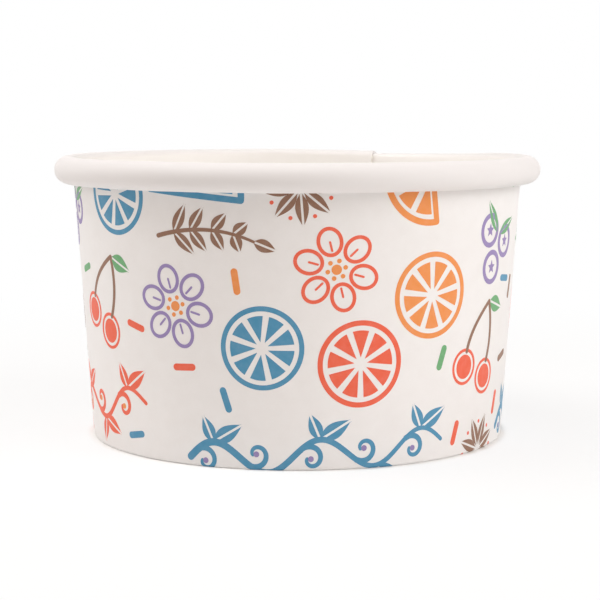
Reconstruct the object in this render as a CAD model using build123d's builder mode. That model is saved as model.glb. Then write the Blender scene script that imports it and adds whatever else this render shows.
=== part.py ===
from build123d import *
import os
from math import acos, atan2, ceil, cos, degrees, radians, sin, tan

# Paper dessert cup: a tapered side wall, wrapped from one paperboard blank with a lapped seam at the
# back, its top edge rolled outwards into the rim and its bottom edge folded inwards round the skirt of
# a recessed base disc. Millimetres, +Z up, origin at the centre of the foot, seam towards +Y.

# Cup
cup_height = 50.0
rim_diameter = 87.0  # widest point of the rolled rim
foot_diameter = 74.0  # outside of the wall where its line meets the table
board = 0.40  # side wall paperboard, coated on both sides

# Rolled rim
crown_radius = 2.4  # outside of the roll, from the crest round to its underside
shoulder_width = 0.8  # from the wall's line to the crest, level with the crest
tightest_bend = 0.15  # inside of the turned-up edge, where the seam makes it two boards thick
tuck_length = 1.2  # straight end of the sheet, up inside the roll
tuck_clearance = 0.05  # between that end and the seam's outer ply
flat_angle = 29.0  # the roll is drawn in flats, each turned by no more than this from the last

# Foot hem and base disc
hem_height = 6.0  # top edge of the folded-in leg, whose folds are pressed sharp
disc_clearance = 1.0  # from the leg's top edge up to the underside of the base disc
base_board = 0.36
base_bevel = 0.9  # eases the corner where the disc turns down into its skirt
skirt_clearance = 0.3  # from the skirt's edge to the inside of the fold
glue_line = 0.03  # sealing film on each side of the skirt

# Side seam
lap_width = 7.0  # overlap of the two plies
seam_film = 0.05  # sealing film between the two plies
corner_clip = 1.5  # the first edge's lower corner is clipped to this height, so that the foot stays flat

# Wall line, with unit vectors up the wall and out of its printed face, as (radius, height)
rim_radius = rim_diameter / 2
foot_radius = foot_diameter / 2
mouth_radius = rim_radius - crown_radius - shoulder_width
taper = atan2(mouth_radius - foot_radius, cup_height)
up_wall = Vector(sin(taper), cos(taper))
out_of_wall = Vector(cos(taper), -sin(taper))

# Seam: the sheet leaves the wall along a tangent, and so climbs straight onto its own first edge
ply_step = board + seam_film
lap_angle = degrees(lap_width / mouth_radius)
ramp_angle = degrees(acos(mouth_radius / (mouth_radius + ply_step)))

# Roll: the wall bends over the shoulder to the crest, runs round the crown until it is close to the
# wall again, then turns up beside it. Radii are those of the printed face, inside the roll.
shoulder_radius = (shoulder_width + board * tan(taper)) / (cos(taper) - tan(taper) * (1 - sin(taper)))
shoulder_height = cup_height - board - shoulder_radius * (1 - sin(taper))
turn_radius = tightest_bend + ply_step
turn_outside = turn_radius + board
turn_offset = ply_step + tuck_clearance + turn_outside - shoulder_width * cos(taper) - crown_radius * sin(taper)
under_angle = degrees(taper + acos(turn_offset / (crown_radius - turn_outside)))
turn_angle = 180 + degrees(taper) - under_angle

# Hem: wall, skirt and folded-in leg lie against each other with the sealing film between them, and the
# base disc stands clear of the leg
base_recess = hem_height + disc_clearance
skirt_inset = board + glue_line
leg_inset = skirt_inset + base_board + glue_line + board


def wall_point(height, inset):
    """Point at a height, on the line that runs parallel to the wall's printed face and inset inside it."""
    return Vector(foot_radius + tan(taper) * height - inset / cos(taper), height)


def seam_plane(angle):
    """Upright plane through the axis, turned by an angle from +Y, with local x as radius."""
    radial = Vector(-sin(radians(angle)), cos(radians(angle)), 0)
    return Plane(origin=(0, 0, 0), x_dir=radial, z_dir=radial.cross(Vector(0, 0, 1)))


def bend(start, heading, radius, angle):
    """Bend to the right, as a row of flats from one point of the returned arc to the next."""
    arc = JernArc(start, heading, radius, -angle, mode=Mode.PRIVATE)
    flats = ceil(angle / flat_angle)
    Polyline(*[arc @ (number / flats) for number in range(flats + 1)])
    return arc


def sheet_line(step, depth, hemmed):
    """One face of the sheet from its lower end to its rolled end, which are returned.

    The wall stands out by step where it laps over the first edge, and the face lies at a depth below
    the printed one. A hemmed sheet starts at the top of the leg, another at the clipped corner.
    """
    outset = step - depth
    wall_top = wall_point(shoulder_height, 0) + out_of_wall * outset
    if hemmed:
        start = wall_point(hem_height, leg_inset - depth)
        Polyline(start, wall_point(depth, leg_inset - depth), wall_point(depth, -outset), wall_top)
    else:
        start = wall_point(corner_clip, -outset)
        Line(start, wall_top)
    shoulder = bend(wall_top, up_wall, shoulder_radius - outset, 90 - degrees(taper))
    crown = bend(shoulder @ 1, shoulder % 1, crown_radius - board - outset, 90)
    under = bend(crown @ 1, crown % 1, crown_radius - board - outset, under_angle)
    turn = bend(under @ 1, under % 1, turn_radius - outset, turn_angle)
    tuck = Line(turn @ 1, turn @ 1 + up_wall * tuck_length)
    return start, tuck @ 1


def sheet_section(angle, step=0, hemmed=True):
    """Section of the sheet at an angle round the cup."""
    with BuildSketch(seam_plane(angle)) as section:
        with BuildLine():
            printed_start, printed_end = sheet_line(step, 0, hemmed)
            food_start, food_end = sheet_line(step, board, hemmed)
            Line(printed_start, food_start)
            Line(printed_end, food_end)
        make_face()
    return section.sketch


def disc_line(height, inset, bevel):
    """One face of the base disc from its centre to the foot of its skirt."""
    corner = wall_point(height, inset)
    skirt_end = wall_point(board + skirt_clearance, inset)
    return Polyline((0, height), corner - Vector(bevel, 0), corner - up_wall * bevel, skirt_end)


# Side wall: the sheet leaves its first edge at the back, goes once round, climbs the ramp and laps over
with BuildPart() as side_wall:
    revolve(sheet_section(lap_angle), axis=Axis.Z, revolution_arc=360 - lap_angle - ramp_angle)
    revolve(sheet_section(0, hemmed=False), axis=Axis.Z, revolution_arc=lap_angle)
    loft([sheet_section(-ramp_angle), sheet_section(0, ply_step)], ruled=True)
    revolve(sheet_section(0, ply_step), axis=Axis.Z, revolution_arc=lap_angle)
side_wall.part.label = "side_wall"

# Base disc: flat, with its edge turned down into a skirt that stands between the wall and the leg
with BuildPart() as base_disc:
    disc_top = base_recess + base_board
    corner_turn = radians(90) + taper
    inner_bevel = base_bevel - base_board * (tan(corner_turn / 2) - tan(corner_turn / 4))
    with BuildSketch(seam_plane(0)):
        with BuildLine():
            upper = disc_line(disc_top, skirt_inset, base_bevel)
            lower = disc_line(base_recess, skirt_inset + base_board, inner_bevel)
            Line(upper @ 0, lower @ 0)
            Line(upper @ 1, lower @ 1)
        make_face()
    revolve(axis=Axis.Z)
base_disc.part.label = "base_disc"

os.makedirs("parts", exist_ok=True)
export_step(side_wall.part, "parts/side_wall.step")
export_step(base_disc.part, "parts/base_disc.step")

roll_height = crown_radius + turn_outside + (crown_radius - turn_outside) * sin(radians(under_angle))
print(f"wall taper {degrees(taper):.2f} degrees, rolled rim {roll_height:.2f} mm high")
print(f"sheet bends {90 - degrees(taper) + 90 + under_angle + turn_angle:.0f} degrees in the roll")
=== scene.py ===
# %% [markdown]
# # A paper dessert cup
# The cup is two pieces of paperboard. One printed blank is wrapped into the tapered wall, lapped at the
# back, rolled outwards at the top and folded in at the foot. A disc with a turned-down skirt is held in
# that fold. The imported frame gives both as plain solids, so this lesson dresses them: the wall and the
# disc are formed again as smooth sheets, the print is laid on as thin coats of ink, and each surface
# gets its finish.

# %% Load the frame
import random
from cmath import rect
from collections import defaultdict
from math import acos, atan2, ceil, cos, degrees, pi, radians, sin, tan, tau

import bpy
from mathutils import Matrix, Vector
from mathutils.geometry import delaunay_2d_cdt


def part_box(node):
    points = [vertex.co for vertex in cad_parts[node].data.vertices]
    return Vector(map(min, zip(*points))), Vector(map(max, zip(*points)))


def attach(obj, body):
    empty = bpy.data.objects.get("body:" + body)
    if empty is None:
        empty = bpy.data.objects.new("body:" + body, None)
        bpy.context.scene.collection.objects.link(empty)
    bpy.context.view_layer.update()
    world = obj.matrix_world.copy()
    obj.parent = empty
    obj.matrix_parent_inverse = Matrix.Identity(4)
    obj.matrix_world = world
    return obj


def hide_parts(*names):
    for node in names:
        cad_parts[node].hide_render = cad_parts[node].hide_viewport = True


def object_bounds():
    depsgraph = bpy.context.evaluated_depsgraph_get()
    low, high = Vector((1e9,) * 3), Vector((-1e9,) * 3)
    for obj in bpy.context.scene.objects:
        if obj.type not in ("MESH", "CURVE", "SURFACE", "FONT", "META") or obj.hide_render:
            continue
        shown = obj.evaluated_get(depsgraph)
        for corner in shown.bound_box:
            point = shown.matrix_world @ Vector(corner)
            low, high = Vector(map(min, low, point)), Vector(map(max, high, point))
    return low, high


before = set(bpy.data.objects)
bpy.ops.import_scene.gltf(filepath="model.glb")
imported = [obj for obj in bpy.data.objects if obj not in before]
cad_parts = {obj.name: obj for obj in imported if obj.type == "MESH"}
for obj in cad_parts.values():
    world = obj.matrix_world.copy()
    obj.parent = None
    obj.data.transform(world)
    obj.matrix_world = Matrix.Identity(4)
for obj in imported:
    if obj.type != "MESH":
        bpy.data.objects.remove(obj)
cad_low, cad_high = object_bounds()
print("frame holds", sorted(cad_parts), "from", tuple(cad_low), "to", tuple(cad_high))

# %% [markdown]
# Sizes come from the frame where it has them: the rim's width, the cup's height, and the top and foot of
# the disc. The rest are sizes of the sheet itself, which a box can't tell, so they are written here once.
# Blender works in metres, and a board's thickness is easier to read in millimetres, hence the unit.

# %% Sizes of the sheet
MM = 0.001
wall_low, wall_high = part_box("side_wall")
disc_low, disc_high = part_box("base_disc")
cup_height = wall_high.z
rim_radius = (wall_high.x - wall_low.x) / 2
foot_radius = 37.0 * MM  # where the wall's line meets the table
board = 0.40 * MM
crown_radius = 2.4 * MM  # outside of the rolled rim
shoulder_width = 0.8 * MM  # from the wall's line to the crest
tightest_bend = 0.15 * MM  # inside of the turned-up end of the roll
tuck_length = 1.2 * MM  # straight end, up inside the roll
tuck_clearance = 0.05 * MM  # between that end and the lap's outer ply
hem_height = 6.0 * MM  # top edge of the folded-in leg
fold_radius = 0.10 * MM  # inside of the hem's two folds
base_board = 0.36 * MM
base_corner = 0.6 * MM  # inside of the corner where the disc turns down
glue_line = 0.03 * MM  # sealing film on each side of the skirt
lap_width = 7.0 * MM
seam_film = 0.05 * MM  # sealing film between the two plies
corner_clip = 1.5 * MM  # height of the first edge's clipped corner

mouth_radius = rim_radius - crown_radius - shoulder_width
taper = atan2(mouth_radius - foot_radius, cup_height)
ply_step = board + seam_film
lap_angle = lap_width / mouth_radius
ramp_angle = acos(mouth_radius / (mouth_radius + ply_step))
print(f"rim {2 * rim_radius / MM:.2f} mm, height {cup_height / MM:.2f} mm, taper {degrees(taper):.2f} deg")

# %% [markdown]
# Node trees are easier to read as sums than as boxes and wires. This class wraps one socket, so that
# `1 - mask` or `angle * radius` adds the Math nodes by itself. Every other node comes from one method,
# which is given its type, its settings and what goes into its sockets. It serves geometry and shaders.


# %% A socket that can be calculated with
class Wire:
    def __init__(self, socket):
        self.socket = socket

    def node(self, kind, settings=None, sockets=None, output=0):
        return add_node(self.socket.id_data, kind, settings, sockets, output)

    def math(self, operation, *values):
        return self.node("ShaderNodeMath", {"operation": operation}, dict(enumerate(values)))

    def __add__(self, other):
        return self.math("ADD", self, other)

    def __sub__(self, other):
        return self.math("SUBTRACT", self, other)

    def __rsub__(self, other):
        return self.math("SUBTRACT", other, self)

    def __mul__(self, other):
        return self.math("MULTIPLY", self, other)

    def __truediv__(self, other):
        return self.math("DIVIDE", self, other)

    def __mod__(self, other):
        return self.math("MODULO", self, other)

    __radd__ = __add__
    __rmul__ = __mul__


def add_node(tree, kind, settings=None, sockets=None, output=0):
    """A new node's output. A list of wires goes into a socket that takes several."""
    node = tree.nodes.new(kind)
    for name, value in (settings or {}).items():
        setattr(node, name, value)
    for name, value in (sockets or {}).items():
        for entry in value if isinstance(value, list) else [value]:
            if isinstance(entry, Wire):
                tree.links.new(entry.socket, node.inputs[name])
            else:
                node.inputs[name].default_value = entry
    return Wire(node.outputs[output])


# %% [markdown]
# A geometry tree is a small machine with named dials. The first helper makes the tree and its dials, and
# the last one runs it on an object: it sets each dial by the socket's identifier, takes the finished
# mesh off the evaluated object, and leaves a plain mesh with no modifier behind.


# %% Make a geometry tree and run it
def new_tree(name, dials):
    tree = bpy.data.node_groups.new(name, "GeometryNodeTree")
    tree.interface.new_socket("Geometry", in_out="INPUT", socket_type="NodeSocketGeometry")
    for dial, kind in dials.items():
        tree.interface.new_socket(dial, in_out="INPUT", socket_type="NodeSocket" + kind)
    tree.interface.new_socket("Geometry", in_out="OUTPUT", socket_type="NodeSocketGeometry")
    entry = tree.nodes.new("NodeGroupInput")
    return tree, {socket.name: Wire(socket) for socket in entry.outputs if socket.name}


def end_tree(tree, geometry):
    tree.links.new(geometry.socket, tree.nodes.new("NodeGroupOutput").inputs[0])


def run_tree(piece, tree, **dials):
    modifier = piece.modifiers.new(tree.name, "NODES")
    modifier.node_group = tree
    for socket in tree.interface.items_tree:
        dial = socket.name.lower().replace(" ", "_")
        if socket.in_out == "INPUT" and dial in dials:
            modifier[socket.identifier] = dials[dial]
    evaluated = piece.evaluated_get(bpy.context.evaluated_depsgraph_get())
    formed = bpy.data.meshes.new_from_object(evaluated)
    raw = piece.data
    piece.modifiers.remove(modifier)
    piece.data = formed
    bpy.data.meshes.remove(raw)
    formed.name = piece.name
    # A mesh that had no material comes out with an empty first slot
    if formed.materials[0] is None:
        formed.materials.pop(index=0)


# %% Put a mesh in the scene
def put_in_scene(name, data):
    thing = bpy.data.objects.new(name, data)
    bpy.context.scene.collection.objects.link(thing)
    return thing


def new_piece(name, points, edges=(), faces=()):
    mesh = bpy.data.meshes.new(name)
    mesh.from_pydata(points, edges, faces)
    return put_in_scene(name, mesh)


# %% [markdown]
# A folded sheet is known by its section: straight runs and bends, one after the other. A turtle that walks
# a length while it turns draws all of it, because a straight run is only a walk with no turn. Each point
# also keeps which way the printed face looks, which is always to the right of the walk. A point's climb
# says how far it goes along with the seam, where the wall steps up onto its own first edge but the
# folded-in leg doesn't. Its roll says how far it belongs to the rolled rim. Both change evenly within a
# move, from what they were before it.


# %% Draw the section of a sheet
def draw_section(name, start, heading, moves):
    """The line of a walk, whose moves are (length, turn, steps, climb, roll)."""
    points = [Vector(start)]
    looks = [heading]
    weights = [Vector(moves[0][3:])]
    for length, turn, steps, climb, roll in moves:
        half = turn / steps / 2
        stride = length / steps * (sin(half) / half if half else 1)
        before = weights[-1]
        for step in range(steps):
            heading += half
            points.append(points[-1] + Vector((cos(heading), sin(heading))) * stride)
            heading += half
            looks.append(heading)
            weights.append(before.lerp(Vector((climb, roll)), (step + 1) / steps))
    section = new_piece(
        name,
        [(point.x, 0, point.y) for point in points],
        [(index, index + 1) for index in range(len(points) - 1)],
    )
    layers = section.data.attributes
    for layer, kind in (("facing", "FLOAT_VECTOR"), ("climb", "FLOAT"), ("roll", "FLOAT")):
        layers.new(layer, kind, "POINT")
    for index, look in enumerate(looks):
        layers["facing"].data[index].vector = (sin(look), 0, -cos(look))
        layers["climb"].data[index].value, layers["roll"].data[index].value = weights[index]
    return section


# %% [markdown]
# The wall's section is walked on its printed face: down the leg, round the two folds of the hem, up the
# wall, over the shoulder to the crest, round the crown, and up into the roll. The radii of the roll follow
# from the rim's outer width, as they do in the frame.

# %% Bends and runs of the wall
shoulder_radius = (shoulder_width + board * tan(taper)) / (cos(taper) - tan(taper) * (1 - sin(taper)))
shoulder_height = cup_height - board - shoulder_radius * (1 - sin(taper))
turn_radius = tightest_bend + ply_step
turn_outside = turn_radius + board
crown_offset = shoulder_width * cos(taper) + crown_radius * sin(taper)
turn_offset = ply_step + tuck_clearance + turn_outside - crown_offset
crown_angle = pi / 2 + taper + acos(turn_offset / (crown_radius - turn_outside))
turn_angle = 3 * pi / 2 + taper - crown_angle

skirt_inset = board + glue_line
leg_inset = skirt_inset + base_board + glue_line + board
fold_outside = fold_radius + board
leg_turn = pi / 2 + taper
wall_turn = pi / 2 - taper
leg_trim = fold_outside * tan(leg_turn / 2)
wall_trim = fold_outside * tan(wall_turn / 2)
hem_run = leg_inset / cos(taper) - leg_trim - wall_trim
leg_run = hem_height / cos(taper) - leg_trim
clip_run = corner_clip / cos(taper) - wall_trim
wall_run = (shoulder_height - corner_clip) / cos(taper)
print(f"crown {degrees(crown_angle):.0f} degrees, then {degrees(turn_angle):.0f} more")


# %% Section of the wall
def wall_radius(height, inset):
    return foot_radius + tan(taper) * height - inset / cos(taper)


wall_moves = [
    (leg_run, 0, 4, 0, 0),
    (fold_outside * leg_turn, leg_turn, 6, 0, 0),
    (hem_run, 0, 1, 0, 0),
    (fold_outside * wall_turn, wall_turn, 6, 0, 0),
    (clip_run, 0, 1, 1, 0),
    (wall_run, 0, 12, 1, 0),
    (shoulder_radius * wall_turn, -wall_turn, 8, 1, 1),
    ((crown_radius - board) * crown_angle, -crown_angle, 18, 1, 1),
    (turn_radius * turn_angle, -turn_angle, 10, 1, 0),
    (tuck_length, 0, 1, 1, 0),
]
leg_top = (wall_radius(hem_height, leg_inset), hem_height)
wall_section = draw_section("wall_section", leg_top, -pi / 2 - taper, wall_moves)
foot_length = sum(move[0] for move in wall_moves[:3])  # walked before the fold that starts the wall
print(f"wall section: {len(wall_section.data.vertices)} points")

# %% [markdown]
# The disc is the same kind of walk, on its underside: out from the centre, round one corner and down the
# skirt. Its skirt ends just above the fold that holds it.

# %% Section of the base disc
base_recess = disc_high.z - base_board
skirt_foot = disc_low.z
corner_trim = base_corner * tan(leg_turn / 2)
disc_run = wall_radius(base_recess, skirt_inset + base_board) - corner_trim
skirt_run = (base_recess - skirt_foot) / cos(taper) - corner_trim
disc_moves = [
    (disc_run, 0, 10, 0, 0),
    (base_corner * leg_turn, -leg_turn, 8, 0, 0),
    (skirt_run, 0, 4, 0, 0),
]
disc_section = draw_section("disc_section", (0, base_recess), 0, disc_moves)
print(f"disc section: {len(disc_section.data.vertices)} points, underside at {base_recess / MM:.2f} mm")

# %% [markdown]
# One rule places any point of the sheet, and the ink uses it as well, so that the print lies on the board
# wherever the board goes. A point is known by its section and its angle. The angle starts at the sheet's
# first edge, goes once round, which is tau, and on over the lap. Just before it arrives at its own first
# edge, the sheet leaves the wall along a tangent and so climbs by one ply: over a short stretch that is a
# parabola. The stiff roll takes a longer way into that step, and round the seam the whole rim sags a
# little. Board is never perfectly true, so the wall also wavers slowly, and the roll is a little lumpy
# from the curling die. Both noises are read on a circle, so that they meet themselves at the seam.


# %% Coordinates and ramps
def part_of(vector, axis):
    return vector.node("ShaderNodeSeparateXYZ", {}, {0: vector}, axis)


def vector_of(x, y, z):
    return x.node("ShaderNodeCombineXYZ", {}, {0: x, 1: y, 2: z})


def ramp(value, low, high, start=0.0, end=1.0, kind="SMOOTHSTEP"):
    """Goes from start to end while a value goes from low to high, and stays there."""
    reach = {"Value": value, "From Min": low, "From Max": high, "To Min": start, "To Max": end}
    return value.node("ShaderNodeMapRange", {"interpolation_type": kind}, reach)


# %% The lie of the sheet
waver_depth = 0.09 * MM
waver_size = 14 * MM
still_height = 9 * MM  # the hem and the disc hold the wall true up to here
free_height = 20 * MM
roll_ramp = radians(60)
sag_depth = 0.40 * MM
sag_reach = radians(45)
sag_shift = radians(10)  # the middle of the sag is this far from the seam, on the side with one ply
sag_start = 25 * MM
lump_depth = 0.16 * MM
lump_length = 8 * MM
lump_height = 4 * MM


def lie_of_the_sheet(section_point, facing, climb, roll, angle, ply, proud):
    """Where a point lies: section_point is (radius, 0, height), and proud is its height above the face."""
    radius = part_of(section_point, "X")
    height = part_of(section_point, "Z")
    cosine = angle.math("COSINE", angle)
    sine = angle.math("SINE", angle)

    def uneven(length, tallness):
        """Noise from -0.5 to 0.5, with lumps of this size."""
        lumps_round = mouth_radius / length
        spot = vector_of(cosine * lumps_round, sine * lumps_round, height / tallness)
        return angle.node("ShaderNodeTexNoise", {}, {"Vector": spot, "Scale": 1.0, "Detail": 1.0}) - 0.5

    arrival = ramp(angle, tau - ramp_angle, tau, kind="LINEAR")
    roll_arrival = ramp(angle, tau - roll_ramp, tau)
    step = (arrival * arrival * (1 - roll) + roll_arrival * roll) * ply
    from_sag = angle.math("PINGPONG", angle + sag_shift, pi)
    sag = ramp(from_sag, 0.0, sag_reach, sag_depth, 0.0) * ramp(height, sag_start, cup_height)
    freedom = ramp(height, still_height, free_height, 0.0, waver_depth)
    waver = uneven(waver_size, waver_size) * (1 - roll) * freedom
    lump = uneven(lump_length, lump_height) * roll * lump_depth
    lift = climb * (step + waver) + lump + proud
    reach = radius + part_of(facing, "X") * lift
    rise = height + part_of(facing, "Z") * lift - sag
    # Angle 0 is at +Y, and it grows towards -X, as the frame's seam does
    return vector_of(reach * sine * -1, reach * cosine, rise)


def turned(vector, angle):
    """A vector of the section, turned to its place round the cup."""
    out = part_of(vector, "X")
    sideways = out * angle.math("SINE", angle) * -1
    return vector_of(sideways, out * angle.math("COSINE", angle), part_of(vector, "Z"))


# %% [markdown]
# A sheet could be made with Spin or Screw and a Solidify modifier, but neither can climb onto itself at the
# seam. So a grid of vertices is laid out with one column for each angle and one row for each point of the
# section, and every vertex looks up its own place. Then the grid is thickened: it is extruded away from
# the printed face, and joined to a turned-over copy of itself that closes the back. The cut edges, the
# printed face and the food side are told apart here, because the board looks different on each.

# %% Thicken a printed face
touching = 0.0002 * MM  # points closer than this become one


def named(wire, name, kind):
    return wire.node("GeometryNodeInputNamedAttribute", {"data_type": kind}, {"Name": name})


def kept(geometry, name, kind, value):
    return geometry.node(
        "GeometryNodeStoreNamedAttribute",
        {"data_type": kind, "domain": "POINT"},
        {"Geometry": geometry, "Name": name, "Value": value},
    )


def merged(geometry):
    return geometry.node("GeometryNodeMergeByDistance", {}, {"Geometry": geometry, "Distance": touching})


def thicken(face, depth):
    """A closed solid behind a printed face, with masks of its other face and of its cut edges."""
    face = merged(face)
    facing = named(face, "facing", "FLOAT_VECTOR")
    raised = face.node(
        "GeometryNodeExtrudeMesh",
        {"mode": "FACES"},
        {"Mesh": face, "Offset": facing, "Offset Scale": depth * -1, "Individual": False},
    )
    _, other, cut = (Wire(socket) for socket in raised.socket.node.outputs)
    raised = raised.node("GeometryNodeFlipFaces", {}, {"Mesh": raised})
    whole = merged(raised.node("GeometryNodeJoinGeometry", {}, {"Geometry": [face, raised]}))
    return whole.node("GeometryNodeRealizeInstances", {}, {"Geometry": whole}), other, cut


# %% A tree that forms a sheet from its section
any_corner = 0.01  # a mask's mean over a face is above this if any corner has it

sheet_dials = {
    "Steps": "Int",
    "Sweep": "Float",
    "Ply": "Float",
    "Board": "Float",
    "Clip Angle": "Float",
    "Clip Height": "Float",
    "Printed": "Material",
    "Food Side": "Material",
    "Cut Edge": "Material",
}


def sheet_tree():
    tree, dial = new_tree("form_sheet", sheet_dials)
    section = dial["Geometry"]
    count = section.node("GeometryNodeAttributeDomainSize", {"component": "MESH"}, {0: section})
    columns = {"Vertices X": dial["Steps"] + 1, "Vertices Y": count}
    grid = section.node("GeometryNodeMeshGrid", {}, columns)
    index = section.node("GeometryNodeInputIndex")
    row = index % count
    angle = index.math("FLOOR", index / count) * dial["Sweep"] / dial["Steps"]

    def look_up(value, kind):
        sample = {"Geometry": section, "Value": value, "Index": row}
        return section.node("GeometryNodeSampleIndex", {"data_type": kind}, sample)

    point = look_up(section.node("GeometryNodeInputPosition"), "FLOAT_VECTOR")
    facing = look_up(named(section, "facing", "FLOAT_VECTOR"), "FLOAT_VECTOR")
    climb = look_up(named(section, "climb", "FLOAT"), "FLOAT")
    roll = look_up(named(section, "roll", "FLOAT"), "FLOAT")
    low_down = point.math("LESS_THAN", part_of(point, "Z"), dial["Clip Height"])
    sheet = kept(grid, "facing", "FLOAT_VECTOR", turned(facing, angle))
    sheet = kept(sheet, "roll", "FLOAT", roll)
    sheet = kept(sheet, "under_lap", "FLOAT", angle.math("LESS_THAN", angle, dial["Clip Angle"]))
    sheet = kept(sheet, "in_hem", "FLOAT", angle.math("MAXIMUM", 1 - climb, low_down))
    place = lie_of_the_sheet(point, facing, climb, roll, angle, dial["Ply"], 0.0)
    sheet = sheet.node("GeometryNodeSetPosition", {}, {"Geometry": sheet, "Position": place})
    both = named(sheet, "under_lap", "FLOAT") * named(sheet, "in_hem", "FLOAT")
    clipped = both.math("GREATER_THAN", both, any_corner)
    sheet = sheet.node(
        "GeometryNodeDeleteGeometry", {"domain": "FACE"}, {"Geometry": sheet, "Selection": clipped}
    )
    whole, food, cut = thicken(sheet, dial["Board"])
    for faces, finish in ((True, "Printed"), (food, "Food Side"), (cut, "Cut Edge")):
        dressed = {"Geometry": whole, "Selection": faces, "Material": dial[finish]}
        whole = whole.node("GeometryNodeSetMaterial", {}, dressed)
    end_tree(tree, whole)
    return tree


form_sheet = sheet_tree()
print("form_sheet has", len(form_sheet.nodes), "nodes")

# %% [markdown]
# Paperboard is not one flat white. Its fibres clump into a faint cloudiness, the coat on it has a fine
# tooth, and light glances off it with a soft satin sheen. All of that is noise at the right scale, read
# from Object coordinates. The printed side is a little cooler and duller, the food side is sealed with a
# film, so it is creamier and shinier, and it is painted lighter as well, a painted light for what comes
# through the thin board. A cut edge shows the bare core. The base is cut from a plainer board. The roll
# is the food side too, stretched over a die, which dulls it, and it is painted a greyer colour, a painted
# shade on the rolled rim: the sheet keeps where the roll is as an attribute, its roll. The painted shade
# and the dulling begin where the shoulder does, so they run ahead of the roll.


# %% Tools for a finish
def paint(*levels):
    """A colour as it looks on a screen, 0 to 255, as the linear colour that shaders work in."""
    shares = [level / 255 for level in levels]
    linear = [share / 12.92 if share < 0.0405 else ((share + 0.055) / 1.055) ** 2.4 for share in shares]
    return (*linear, 1)


def new_finish(name, constants):
    """A material, its shader with some sockets set, and the Object coordinates."""
    material = bpy.data.materials.new(name)
    material.use_nodes = True
    shader = material.node_tree.nodes["Principled BSDF"]
    for socket, value in constants.items():
        shader.inputs[socket].default_value = value
    place = add_node(material.node_tree, "ShaderNodeTexCoord", output="Object")
    return material, shader, place


def plug(shader, **wires):
    for name, wire in wires.items():
        shader.id_data.links.new(wire.socket, shader.inputs[name.replace("_", " ").title()])


def cloud(place, size, detail=2.0):
    """Noise whose lumps are about this wide."""
    return place.node("ShaderNodeTexNoise", {}, {"Vector": place, "Scale": 1 / size, "Detail": detail})


def blend(factor, first, second):
    return factor.node("ShaderNodeMix", {"data_type": "RGBA"}, {0: factor, 6: first, 7: second}, 2)


# %% Finishes of the board
clump_size = 2.6 * MM
clump_detail = 3.0
clump_share = 0.7  # of the cloudiness, and the fibres have the rest
fibre_size = 0.35 * MM
fibre_dulling = 0.16  # change of roughness from fibre to fibre
tooth_depth = 0.03 * MM
roll_shade_onset = 1.8
roll_dulling = 0.20
# painted shade: the rolled rim and its shoulder are painted this greyer colour
painted_roll_shade = paint(234, 233, 233)
board_gloss = {"Coat Roughness": 0.32, "Specular IOR Level": 0.2}


def board_finish(name, light, dark, roughness, coat, tooth):
    material, shader, place = new_finish(name, board_gloss)
    clumps = cloud(place, clump_size, clump_detail)
    fibres = cloud(place, fibre_size)
    roll = place.node("ShaderNodeAttribute", {"attribute_name": "roll"}, output="Fac")
    # how far the roll's painted shade and its dulling have come, starting early on the shoulder
    roll_shade_and_dulling = roll.math("MINIMUM", roll * roll_shade_onset, 1.0)
    cloudy = blend(clumps * clump_share + fibres * (1 - clump_share), light, dark)
    grain = {"Strength": tooth, "Distance": tooth_depth, "Height": fibres + clumps}
    plug(
        shader,
        base_color=blend(roll_shade_and_dulling, cloudy, painted_roll_shade),
        roughness=(fibres - 0.5) * fibre_dulling + roll_shade_and_dulling * roll_dulling + roughness,
        coat_weight=(1 - roll_shade_and_dulling) * coat,
        normal=place.node("ShaderNodeBump", {}, grain),
    )
    return material


printed_side = board_finish(
    "printed_side", paint(245, 245, 245), paint(237, 236, 235), roughness=0.50, coat=0.10, tooth=0.35
)
# the food side is painted lighter than the printed side, a painted light for what comes through the thin
# board
food_side = board_finish(
    "food_side", paint(253, 252, 250), paint(249, 248, 245), roughness=0.42, coat=0.25, tooth=0.22
)
base_side = board_finish(
    "base_side", paint(238, 236, 232), paint(231, 228, 222), roughness=0.48, coat=0.20, tooth=0.22
)
cut_edge = board_finish(
    "cut_edge", paint(246, 243, 236), paint(232, 226, 215), roughness=0.80, coat=0.0, tooth=0.5
)
print("board finishes:", printed_side.name, food_side.name, base_side.name, cut_edge.name)

# %% [markdown]
# With the sections drawn and the finishes mixed, both sheets are formed by the same tree. The wall goes
# once round and on over its lap, and its first edge has its lower corner clipped so that the foot stays
# flat. The disc goes round exactly once, so its ends meet and merge. The shading is smooth everywhere
# except at the cut edges.

# %% Form the wall and the base disc
round_steps = 420
sharp_angle = radians(50)


def formed(name, section, **dials):
    piece = put_in_scene(name, section.data.copy())
    run_tree(piece, form_sheet, steps=round_steps, printed=printed_side, cut_edge=cut_edge, **dials)
    return piece


def settle(piece, node):
    """Smooth the mesh, and hang the piece on the frame, in place of a node if given."""
    piece.data.shade_smooth()
    piece.data.set_sharp_from_angle(angle=sharp_angle)
    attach(piece, "root")
    if node:
        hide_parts(node)
    piece.data.calc_loop_triangles()
    print(f"{piece.name}: {len(piece.data.loop_triangles)} triangles")


wall = formed(
    "cup_wall",
    wall_section,
    sweep=tau + lap_angle,
    ply=ply_step,
    board=board,
    clip_angle=lap_angle,
    clip_height=corner_clip,
    food_side=food_side,
)
settle(wall, "side_wall")
disc = formed(
    "cup_base",
    disc_section,
    sweep=tau,
    ply=0.0,
    board=base_board,
    clip_angle=0.0,
    clip_height=0.0,
    food_side=base_side,
)
settle(disc, "base_disc")

# %% [markdown]
# The print is drawn flat, as it is on the blank before the cup is made, in millimetres: x runs round the
# wall and y runs up from the fold of the foot. A flat point is a complex number, because a turn is then one
# multiplication and a circle is one call of `rect`. Every shape is a list of simple polygons that may
# overlap, such as the short pieces of a pen line.

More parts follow.
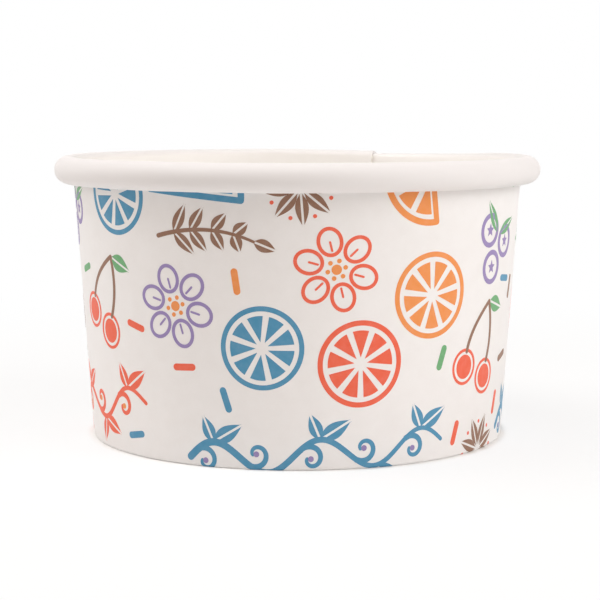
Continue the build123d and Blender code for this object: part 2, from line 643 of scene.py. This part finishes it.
# %% Pen and brush
facet = 0.3  # straight steps in a round outline
bow_steps = 18


def arc(centre, radius, start, turn):
    count = max(4, ceil(abs(turn) * radius / facet))
    return [centre + rect(radius, start + turn * step / count) for step in range(count + 1)]


def ring(centre, radius):
    """A full circle, without its first point again."""
    return arc(centre, radius, 0, tau)[:-1]


def dot(centre, radius):
    return [ring(centre, radius)]


def bow(start, pull, end):
    """A curved line from start to end, drawn towards a third point."""
    shares = [step / bow_steps for step in range(bow_steps + 1)]
    return [start * (1 - t) ** 2 + 2 * pull * t * (1 - t) + end * t**2 for t in shares]


def stroke(line, width, end_width=None):
    """A pen line with round ends, which may get thinner towards its end."""
    end_width = end_width or width
    sides = []
    for index, point in enumerate(line):
        along = line[min(index + 1, len(line) - 1)] - line[max(index - 1, 0)]
        half = (width + (end_width - width) * index / (len(line) - 1)) / 2
        across = 1j * along / abs(along) * half
        sides.append((point - across, point + across))
    pieces = []
    for (right, left), (next_right, next_left) in zip(sides, sides[1:]):
        pieces.append([right, next_right, next_left, left])
    return pieces + dot(line[0], width / 2) + dot(line[-1], end_width / 2)


def outline(line, width):
    """A pen line that closes on itself."""
    return stroke(line + line[:2], width)


# %% [markdown]
# The motifs are what such a cup is filled and topped with: citrus, cherries, berries, blossom, herbs, beans
# and spice, and a few long leafy scrolls. Each returns its polygons by ink, drawn round the origin and
# facing right. They are small functions with a size and an ink, so that a cup gets many that differ.
# Plain numbers in them are shares of that size, millimetres of pen or leaf, or angles in radians.

# %% A leaf
leaf_steps = 14
leaf_fullness = 0.8  # under 1, it is widest nearer its base
vein_ends = (0.98, 0.02)  # shares of the leaf's length


def leaf(base, tip, width, vein):
    """A leaf from two halves, with a bare vein between them."""
    spine = tip - base
    side = 1j * spine / abs(spine)
    shares = [step / leaf_steps for step in range(leaf_steps + 1)]
    bulge = [max(width / 2 * sin(pi * share**leaf_fullness), vein / 2) for share in shares]
    halves = []
    for sign in (-1, 1):
        edge = [base + spine * share + sign * side * out for share, out in zip(shares, bulge)]
        middle = [base + spine * share + sign * side * vein / 2 for share in vein_ends]
        halves.append((edge + middle)[::-sign])
    return halves


print("half a leaf has", len(leaf(0, 5, 2, 0.4)[0]), "corners")


# %% Fruit
def wedge(core, flesh, middle, half):
    """A segment of fruit, pointed at the core."""
    return [rect(core, middle)] + arc(0, flesh, middle - half, 2 * half)


def citrus(radius, ink):
    segments = 9
    half = pi / segments * 0.72
    shapes = defaultdict(list)
    shapes[ink] += outline(ring(0, radius * 0.94), radius * 0.12)
    for number in range(segments):
        shapes[ink].append(wedge(radius * 0.15, radius * 0.77, tau * number / segments, half))
    return shapes


def half_citrus(radius, ink):
    segments = 5
    half = pi / segments / 2 * 0.74
    peel = radius * 0.94
    shapes = defaultdict(list)
    shapes[ink] += stroke(arc(0, peel, 0, pi), radius * 0.12)
    shapes[ink] += stroke([-peel, peel], radius * 0.12)
    for number in range(segments):
        segment = wedge(radius * 0.18, radius * 0.78, pi * (number + 0.5) / segments, half)
        shapes[ink].append([point + 0.04j * radius for point in segment])
    return shapes


def cherries(size, fruit, stem, foliage):
    shapes = defaultdict(list)
    joint = (0.10 + 0.62j) * size
    for place, pull in ((-0.26 - 0.28j, -0.26 + 0.25j), (0.27 - 0.36j, 0.34 + 0.22j)):
        centre = place * size
        shapes[fruit] += dot(centre, size * 0.16)
        shapes[fruit] += outline(ring(centre, size * 0.22), size * 0.04)
        shapes[stem] += stroke(bow(joint, pull * size, centre + 0.20j * size), size * 0.055)
    leaf_tip = joint + (0.42 - 0.04j) * size
    shapes[foliage] += leaf(joint + 0.03 * size, leaf_tip, size * 0.22, size * 0.03)
    return shapes


def berries(size, ink, foliage):
    upright = 1.57
    spread = 2.2
    shapes = defaultdict(list)
    for turn in (0.5, 2.6, 4.7):
        centre = rect(size * 0.31, turn)
        star = [rect(size * (0.10 if point % 2 else 0.045), pi / 5 * point) for point in range(10)]
        shapes[ink] += outline(ring(centre, size * 0.21), size * 0.07)
        shapes[ink].append([centre + point for point in star])
    for turn in (1.35, 1.8):
        leaf_tip = rect(size * 0.72, turn + (turn - upright) * spread)
        shapes[foliage] += leaf(rect(size * 0.20, turn), leaf_tip, size * 0.17, size * 0.03)
    return shapes


print("a citrus slice has", len(citrus(7.2, "orange")["orange"]), "polygons")


# %% Leaves, flowers and scrolls
def sprig(length, ink):
    pairs = 4
    spread = 0.95
    vein = 0.35
    shapes = defaultdict(list)
    stem = bow(-length / 2, length * 0.16j, length * 0.38)
    shapes[ink] += stroke(stem, 0.75, 0.45)
    for number in range(pairs):
        index = 3 + number * (len(stem) - 4) // pairs
        joint = stem[index]
        along = stem[index + 1] - joint
        reach = length * (0.27 - 0.035 * number) / abs(along)
        for sign in (-1, 1):
            leaf_tip = joint + along * reach * rect(1, sign * spread)
            shapes[ink] += leaf(joint, leaf_tip, length * 0.105, vein)
    end = stem[-1]
    shapes[ink] += leaf(end, end + (end - stem[-3]) * 2.2, length * 0.11, vein)
    return shapes


def scroll(length, ink, bud):
    """A long wave of stem with two leaves and a curl on each bend."""
    waves = 2.5
    height = 2.6
    count = 90
    curl_radius = 2.3
    curl_turn = 1.75 * pi
    curl_shares = [step / 30 for step in range(31)]
    tightening = 0.72
    vein = 0.4
    shapes = defaultdict(list)
    stem = [
        length * (step / count - 0.5) + 1j * height * sin(tau * waves * step / count)
        for step in range(count + 1)
    ]
    shapes[ink] += stroke(stem, 1.3, 0.7)
    for bend in range(int(waves * 2)):
        sign = -1 if bend % 2 else 1
        top = stem[int(count * (bend + 0.5) / waves / 2)]
        index = int(count * (bend + 0.18) / waves / 2)
        along = stem[index + 1] - stem[index]
        spoke = 1j * sign * along / abs(along)
        curl = [
            stem[index] - spoke * (1 - (1 - tightening * t) * rect(1, -sign * curl_turn * t)) * curl_radius
            for t in curl_shares
        ]
        shapes[ink] += stroke(curl, 1.0, 0.55)
        shapes[bud] += dot(stem[index] - spoke * curl_radius, 0.5)
        shapes[ink] += leaf(top, top + complex(5.4, 2.9 * sign), 2.7, vein)
        shapes[ink] += leaf(top, top + complex(-1.6, 4.4 * sign), 2.3, vein)
    return shapes


def blossom(radius, petal, centre):
    petals = 6
    oval_turns = [tau * step / 30 for step in range(30)]
    oval = [complex(0.66 + 0.31 * cos(turn), 0.26 * sin(turn)) for turn in oval_turns]
    shapes = defaultdict(list)
    for number in range(petals):
        turn = tau * number / petals
        shapes[petal] += outline([point * rect(radius, turn) for point in oval], radius * 0.085)
        shapes[petal] += stroke([rect(radius * 0.44, turn), rect(radius * 0.66, turn)], radius * 0.05)
        shapes[centre] += dot(rect(radius * 0.21, turn + pi / petals), radius * 0.055)
    shapes[centre] += dot(0, radius * 0.12)
    return shapes


print("a scroll has", len(scroll(46, "coral", "orange")["coral"]), "polygons")


# %% Beans, spice and sprinkles
def beans(size, ink):
    """Three roasted beans, each in two halves."""
    rim_turns = [pi * step / 16 for step in range(1, 16)]
    crease_places = [-0.38 + 0.76 * step / 10 for step in range(11)]
    shapes = defaultdict(list)
    for place, turn in ((-0.62 + 0.12j, 0.9), (0.10 - 0.42j, -0.35), (0.58 + 0.42j, 1.9)):
        for sign in (-1, 1):
            rim = [complex(0.42 * cos(t), 0.27 * sin(t) * sign) for t in rim_turns]
            crease = [complex(x, 0.05 * sin(x * 7) + sign * 0.035) for x in crease_places]
            half = [size * place + point * rect(size, turn) for point in rim + crease]
            shapes[ink].append(half[::sign])
    return shapes


def spice_star(radius, ink, seed):
    points = 8
    shapes = defaultdict(list)
    for number in range(points):
        turn = tau * number / points
        shapes[ink] += leaf(rect(radius * 0.14, turn), rect(radius, turn), radius * 0.34, radius * 0.06)
        shapes[seed] += dot(rect(radius * 0.80, turn + pi / points), radius * 0.055)
    return shapes


def sprinkle(length, ink):
    return {ink: stroke([-length / 2, length / 2], length * 0.36)}


print("three beans have", len(beans(7.8, "brown")["brown"]), "polygons")

# %% [markdown]
# An all-over print looks even without being a grid. The usual way is to throw the motifs on, the largest
# first, and to keep each one that falls clear of the rest. Here the blank is ruled in small squares, a
# motif takes the squares it covers and a margin round them, and a seeded generator does the throwing, so
# that every run gives the same cup. Motifs may run off under the rim, over the foot and past the seam.


# %% Choose the motifs
def pick(number, *inks):
    return inks[number % len(inks)]


motifs = []
for number in range(4):
    motifs.append(scroll(46, pick(number, "coral", "teal"), pick(number, "orange", "purple")))
for number in range(7):
    citrus_ink = pick(number, "orange", "teal", "coral", "coral", "teal")
    motifs.append(citrus(7.2 - 0.3 * (number % 3), citrus_ink))
    motifs.append(blossom(7.0, pick(number, "coral", "purple", "teal"), "orange"))
    motifs.append(cherries(13.0, "coral", "brown", "green"))
    motifs.append(half_citrus(8.6, pick(number, "teal", "orange")))
    motifs.append(sprig(19, pick(number, "green", "teal", "green", "brown")))
    motifs.append(spice_star(6.2, "brown", "coral"))
    motifs.append(beans(7.8, "brown"))
    motifs.append(berries(12.0, "purple", "green"))
for number in range(30):
    sprinkle_ink = pick(number, "coral", "teal", "orange", "purple", "green", "brown")
    motifs.append(sprinkle(3.2, sprinkle_ink))
print(len(motifs), "motifs to place")

# %% The squares that a motif covers
square = 1.0
margin = 1
ring_shares = (0.0, 0.35, 0.7, 1.0)  # a polygon is filled by shrunken copies of its outline


def footprint(shapes):
    """Points spread over a motif, one to each half square."""
    found = {}
    for polygon in sum(shapes.values(), []):
        centre = sum(polygon) / len(polygon)
        for share in ring_shares:
            for point in polygon:
                spot = centre + (point - centre) * share
                found[round(spot.real * 2 / square), round(spot.imag * 2 / square)] = spot
    return found.values()


def squares_of(points):
    return {(point.real // square, point.imag // square) for point in points}


def grown(squares):
    reach = range(-margin, margin + 1)
    return {(x + right, y + up) for x, y in squares for right in reach for up in reach}


print("a sprinkle covers", len(squares_of(footprint(motifs[-1]))), "squares")

# %% Throw the motifs on the blank
reference_radius = wall_radius(cup_height / 2, 0)
around = tau * reference_radius / MM
under_ply = 0.3  # the print goes on under the lap's outer ply by this
below_rim = 0.3  # bare board under the shoulder
print_left = lap_angle * reference_radius / MM - under_ply
print_right = around + lap_angle * reference_radius / MM
fold_run = fold_outside * wall_turn / MM
print_low = 0.22  # the ink starts on the fold, just clear of the table
print_high = fold_run + (clip_run + wall_run) / MM - below_rim
tries = 900
tilt = 0.35
quarter_turns = (0, 0, 0, pi / 2)  # one motif in four stands upright
dice = random.Random(7)

taken = set()
coats = defaultdict(list)
placed = 0
for shapes in motifs:
    cover = footprint(shapes)
    for _ in range(tries):
        spot = complex(dice.uniform(print_left, print_right), dice.uniform(0, print_high))
        turn = rect(1, dice.uniform(-tilt, tilt) + dice.choice(quarter_turns))
        squares = squares_of(spot + turn * point for point in cover)
        if taken.isdisjoint(squares):
            taken |= grown(squares)
            placed += 1
            for ink, polygons in shapes.items():
                coats[ink].append([[spot + turn * point for point in polygon] for polygon in polygons])
            break
print(f"{placed} of {len(motifs)} motifs placed on {around:.0f} mm of wall")

# %% [markdown]
# Overlapping polygons are joined into one flat mesh by a constrained triangulation, which also says which
# polygon each triangle came from: those that came from none are dropped. Lines ruled across the blank are
# fed in too, so that the ink has vertices wherever the board bends, and so that motifs are cut off cleanly
# at the edges of the blank.

# %% Cut the coats of ink
rule_step = 1.2
fold_steps = 6
overrun = 1.0  # ruled lines reach past a motif by this
weld = 0.002  # points closer than this become one


def ruled_lines(low, high):
    """Lines across the area between two corners: upright ones all along, level ones at the foot's fold."""
    left = low.real // rule_step * rule_step
    count = ceil((high.real - left) / rule_step) + 1
    upright = [left + rule_step * number for number in range(count)] + [print_left, print_right]
    level = [fold_run * number / fold_steps for number in range(fold_steps + 1)] + [print_low, print_high]
    lines = []
    for x in upright:
        if low.real < x < high.real:
            lines.append((complex(x, low.imag - overrun), complex(x, high.imag + overrun)))
    for y in level:
        if low.imag < y < high.imag:
            lines.append((complex(low.real - overrun, y), complex(high.real + overrun, y)))
    return lines


def cut_coat(polygons):
    """One motif in one ink, as vertices and the triangles on the blank."""
    across = [point.real for polygon in polygons for point in polygon]
    upward = [point.imag for polygon in polygons for point in polygon]
    low = complex(min(across), min(upward))
    high = complex(max(across), max(upward))
    points, faces, edges = [], [], []
    for polygon in polygons:
        faces.append([len(points) + number for number in range(len(polygon))])
        points += polygon
    for line in ruled_lines(low, high):
        edges.append((len(points), len(points) + 1))
        points += line
    flat = [Vector((point.real, point.imag)) for point in points]
    vertices, _, triangles, _, _, sources = delaunay_2d_cdt(flat, edges, faces, 0, weld, True)
    inside = []
    for triangle, source in zip(triangles, sources):
        middle = sum((vertices[corner] for corner in triangle), Vector((0, 0))) / len(triangle)
        if source and print_left < middle.x < print_right and print_low < middle.y < print_high:
            inside.append(triangle)
    return vertices, inside


def flat_coat(ink):
    """All that one ink prints, as a flat piece."""
    points, faces = [], []
    for polygons in coats[ink]:
        vertices, triangles = cut_coat(polygons)
        used = sorted({corner for triangle in triangles for corner in triangle})
        number = {corner: len(points) + place for place, corner in enumerate(used)}
        points += [(vertices[corner].x * MM, vertices[corner].y * MM, 0) for corner in used]
        faces += [[number[corner] for corner in triangle] for triangle in triangles]
    return new_piece("print_" + ink, points, faces=faces)


print("a sprinkle is cut into", len(cut_coat(coats["brown"][-1])[1]), "triangles")

# %% [markdown]
# Each coat is then laid on the wall. A Shrinkwrap or Curve modifier would slide off at the fold and at the
# seam, so the coat uses the same rule as the board: its x gives the angle, its y is a length walked along
# the wall's section, and the rule says where that point of the sheet lies. Every coat stands a few
# hundredths of a millimetre proud, each ink a little higher than the one before, as in real printing.

# %% A tree that lays print on the wall
print_dials = {
    "Section": "Object",
    "Start": "Float",
    "Reference Radius": "Float",
    "Ply": "Float",
    "Coat": "Float",
    "Sunk": "Float",
    "Ink": "Material",
}


def print_tree():
    tree, dial = new_tree("lay_print", print_dials)
    flat = dial["Geometry"]
    spot = flat.node("GeometryNodeInputPosition")
    angle = part_of(spot, "X") / dial["Reference Radius"]
    length = part_of(spot, "Y") + dial["Start"]
    section = flat.node("GeometryNodeObjectInfo", {}, {"Object": dial["Section"]}, "Geometry")
    line = section.node("GeometryNodeMeshToCurve", {}, {"Mesh": section})

    def walked(value, kind):
        sample = {"Curves": line, "Value": value, "Length": length}
        return line.node("GeometryNodeSampleCurve", {"mode": "LENGTH", "data_type": kind}, sample)

    point = walked(spot, "FLOAT_VECTOR")
    facing = walked(named(line, "facing", "FLOAT_VECTOR"), "FLOAT_VECTOR")
    climb = walked(named(line, "climb", "FLOAT"), "FLOAT")
    roll = walked(named(line, "roll", "FLOAT"), "FLOAT")
    place = lie_of_the_sheet(point, facing, climb, roll, angle, dial["Ply"], dial["Coat"])
    laid = kept(flat, "facing", "FLOAT_VECTOR", turned(facing, angle))
    laid = laid.node("GeometryNodeSetPosition", {}, {"Geometry": laid, "Position": place})
    whole, _, _ = thicken(laid, dial["Coat"] + dial["Sunk"])
    end_tree(tree, whole.node("GeometryNodeSetMaterial", {}, {"Geometry": whole, "Material": dial["Ink"]}))
    return tree


lay_print = print_tree()
print("lay_print has", len(lay_print.nodes), "nodes")

# %% [markdown]
# Printing ink on coated board is thin: the board's cloudiness shows through, solid areas are never quite
# even, and it has a soft sheen of its own. Mixing a lighter tone in by noise gives the unevenness.

# %% Finishes of the inks
ink_colours = {
    "teal": paint(70, 144, 182),
    "coral": paint(237, 98, 66),
    "orange": paint(238, 147, 74),
    "brown": paint(142, 104, 81),
    "purple": paint(148, 131, 184),
    "green": paint(104, 170, 114),
}
ink_gloss = {"Specular IOR Level": 0.35}
ink_roughness = 0.42
ink_dulling = 0.14  # the fibres' part in it
patch_size = 1.1 * MM
patch_detail = 3.0
patch_falloff = 2.0  # a higher power leaves fewer light patches
thin_share = 0.10  # how far thin ink goes towards white


def ink_finish(name, colour):
    material, shader, place = new_finish(name, ink_gloss)
    thin = tuple(part + (1 - part) * thin_share for part in colour[:3]) + (1,)
    patches = cloud(place, patch_size, patch_detail)
    plug(
        shader,
        base_color=blend(patches.math("POWER", patches, patch_falloff), colour, thin),
        roughness=cloud(place, fibre_size) * ink_dulling + ink_roughness,
    )
    return material


inks = {ink: ink_finish("ink_" + ink, colour) for ink, colour in ink_colours.items()}
print("inks:", *inks)

# %% Lay the print
first_coat = 0.020 * MM
next_coat = 0.004 * MM
sunk = 0.012 * MM  # a coat reaches this far into the board, so that no gap shows
for number, (ink, finish) in enumerate(inks.items()):
    coat = flat_coat(ink)
    run_tree(
        coat,
        lay_print,
        section=wall_section,
        start=foot_length,
        reference_radius=reference_radius,
        ply=ply_step,
        coat=first_coat + next_coat * number,
        sunk=sunk,
        ink=finish,
    )
    settle(coat, None)

# %% [markdown]
# The camera stands where the photograph was taken from: a little above the rim, three and a half cup's
# widths away, and looking slightly down. It also stands to the right of the cup's own front, so that the
# seam, which is at the back, shows right of the middle of the far rim.

# %% Camera
bpy.context.scene.view_settings.view_transform = "Standard"
view_turn = radians(22.2)
camera_distance = 308.7 * MM
camera_height = 59.6 * MM
look_down = 0.116  # radians below level
film_width = 36
focal_length = 102.3
film_shift = 0.00467  # share of the film's width


def round_the_cup(angle, distance, height):
    """A place at an angle to the right of the camera, as the camera sees it."""
    return Vector((distance * sin(view_turn + angle), -distance * cos(view_turn + angle), height))


camera = put_in_scene("camera", bpy.data.cameras.new("camera"))
camera.location = round_the_cup(0, camera_distance, camera_height)
camera.rotation_euler = (pi / 2 - look_down, 0, view_turn)
camera.data.sensor_width = film_width
camera.data.lens = focal_length
camera.data.shift_x = film_shift
bpy.context.scene.camera = camera
print(f"camera sees {degrees(camera.data.angle):.1f} degrees")

# %% [markdown]
# The light is a plain studio. White paper shows every change of tone, so it takes large soft boxes rather
# than spots. Each is placed by its angle to the right of the camera and its angle above the table, at one
# distance, and aimed at the middle of the cup, so that only its strength is left to choose.

# %% Lights
lamp_distance = 0.70
lamp_size = 0.50


def softbox(name, right, up, watts):
    lamp = bpy.data.lights.new(name, "AREA")
    lamp.shape = "DISK"
    lamp.size = lamp_size
    lamp.energy = watts
    box = put_in_scene(name, lamp)
    above = radians(up)
    box.location = round_the_cup(radians(right), lamp_distance * cos(above), lamp_distance * sin(above))
    aim = Vector((0, 0, cup_height / 2)) - box.location
    box.rotation_euler = aim.to_track_quat("-Z", "Y").to_euler()
    print(f"{name}: {watts} W")


softbox("right_softbox", right=60, up=35, watts=2.35)
softbox("low_right_softbox", right=90, up=12, watts=0.50)
softbox("left_softbox", right=-95, up=35, watts=1.65)
softbox("high_left_softbox", right=-90, up=68, watts=1.75)
softbox("top_softbox", right=0, up=68, watts=1.00)

# %% [markdown]
# Floor and room are seen as white by the camera, and by mirrors and glass, but light the cup at a plain
# level: a faint warm light from all round, and a little glow from the floor, which reaches up under the
# rim. Near the cup the floor mixes its own shaded white into what is seen, so the cup keeps a soft shadow
# to stand on, and right at the foot it shows nothing else, which draws the dark line of the contact.
# Further out that share fades, and so the floor has no visible end.

# %% Room
white = (1, 1, 1, 1)
room_fill = (0.19, 0.12, 0.08, 1)


def seen_directly(tree):
    seen = add_node(tree, "ShaderNodeLightPath", output="Is Camera Ray")
    for ray in ("Is Glossy Ray", "Is Transmission Ray"):
        seen = seen.math("MAXIMUM", seen, add_node(tree, "ShaderNodeLightPath", output=ray))
    return seen


world = bpy.data.worlds.new("white_room")
world.use_nodes = True
bpy.context.scene.world = world
seen_in_room = seen_directly(world.node_tree)
plug(world.node_tree.nodes["Background"], color=blend(seen_in_room, room_fill, white))
print("room lights the cup with", room_fill[:3])

# %% Floor
floor_reach = 3.0
floor_paint = {"Base Color": paint(245, 245, 244), "Roughness": 0.9}
floor_glow = 0.05
floor_white = 0.80  # share of plain white seen near the cup
shadow_start = 60 * MM
shadow_end = 220 * MM
contact_width = 1.6 * MM

floor = new_piece(
    "floor",
    [(floor_reach * x, floor_reach * y, 0) for x, y in ((-1, -1), (1, -1), (1, 1), (-1, 1))],
    faces=[(0, 1, 2, 3)],
)
floor_finish, floor_shader, floor_place = new_finish("white_floor", floor_paint)
floor_tree = floor_finish.node_tree
from_cup = floor_place.node("ShaderNodeVectorMath", {"operation": "LENGTH"}, {0: floor_place}, "Value")
from_foot = from_cup.math("ABSOLUTE", from_cup - foot_radius)
white_share = ramp(from_cup, shadow_start, shadow_end, floor_white, 1.0)
white_share = white_share * ramp(from_foot, 0.0, contact_width)
glow_share = seen_directly(floor_tree) * (white_share - floor_glow) + floor_glow
shaded = Wire(floor_shader.outputs[0])
glow = add_node(floor_tree, "ShaderNodeEmission", {}, {"Color": white, "Strength": 1.0})
shown = glow.node("ShaderNodeMixShader", {}, {0: glow_share, 1: shaded, 2: glow})
floor_tree.links.new(shown.socket, floor_tree.nodes["Material Output"].inputs["Surface"])
floor.data.materials.append(floor_finish)
print(f"floor reaches {floor_reach} m, its shadow {shadow_end} m")

# %% [markdown]
# The sections were only drawings to work from, so they go.

# %% Finish
for drawing in (wall_section, disc_section):
    bpy.data.objects.remove(drawing)
